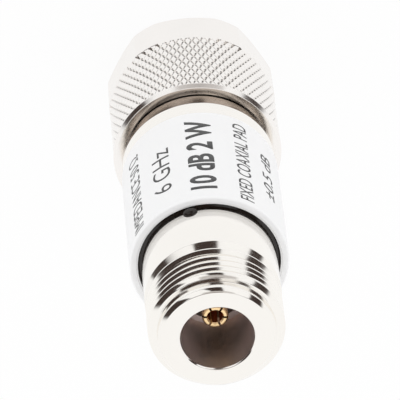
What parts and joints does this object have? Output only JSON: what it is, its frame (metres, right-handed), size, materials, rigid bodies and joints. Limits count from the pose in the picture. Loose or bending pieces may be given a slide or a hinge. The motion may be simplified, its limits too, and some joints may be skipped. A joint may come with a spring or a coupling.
{
  "type": "rf attenuator",
  "caption": "Fixed coaxial attenuator: nickel body with a white wrap label, a threaded socket end and a plug end with a knurled, hexagon-ended coupling nut.",
  "frame": {"origin": "centre of the coupling nut's mating rim, on which the part stands", "axes": "+Z along the coaxial axis from the plug to the jack; the printed side of the label faces -Y"},
  "size_m": [0.0204, 0.0204, 0.0547],
  "materials": {
    "nickel": "bright nickel plate on turned brass",
    "nut_nickel": "bright nickel plate on turned and knurled brass",
    "contact_gold": "gold plate on spring copper alloy",
    "label_film": "white satin label film",
    "sealant": "dark glossy sealant",
    "bead_plastic": "white fluoropolymer",
    "card_ceramic": "white alumina",
    "block_brass": "turned brass",
    "gasket_rubber": "matte silicone rubber",
    "ring_steel": "spring wire"
  },
  "bodies": {
    "attenuator": {"body_sleeve": "nickel", "label_wrap": "label_film", "sealant_drop": "sealant", "jack_shell": "nickel", "jack_contact": "contact_gold", "jack_bead": "bead_plastic", "attenuator_chip": "card_ceramic", "carrier_upper": "block_brass", "carrier_lower": "block_brass", "plug_shell": "nickel", "plug_pin": "contact_gold", "plug_bead": "bead_plastic", "plug_gasket": "gasket_rubber", "retaining_ring": "ring_steel"},
    "nut": {"coupling_nut": "nut_nickel"}
  },
  "joints": [
    {"name": "nut_spin", "type": "hinge", "parent": "attenuator", "child": "nut", "pos_m": [0, 0, 0.0134], "axis": [0, 0, 1], "continuous": true}
  ]
}
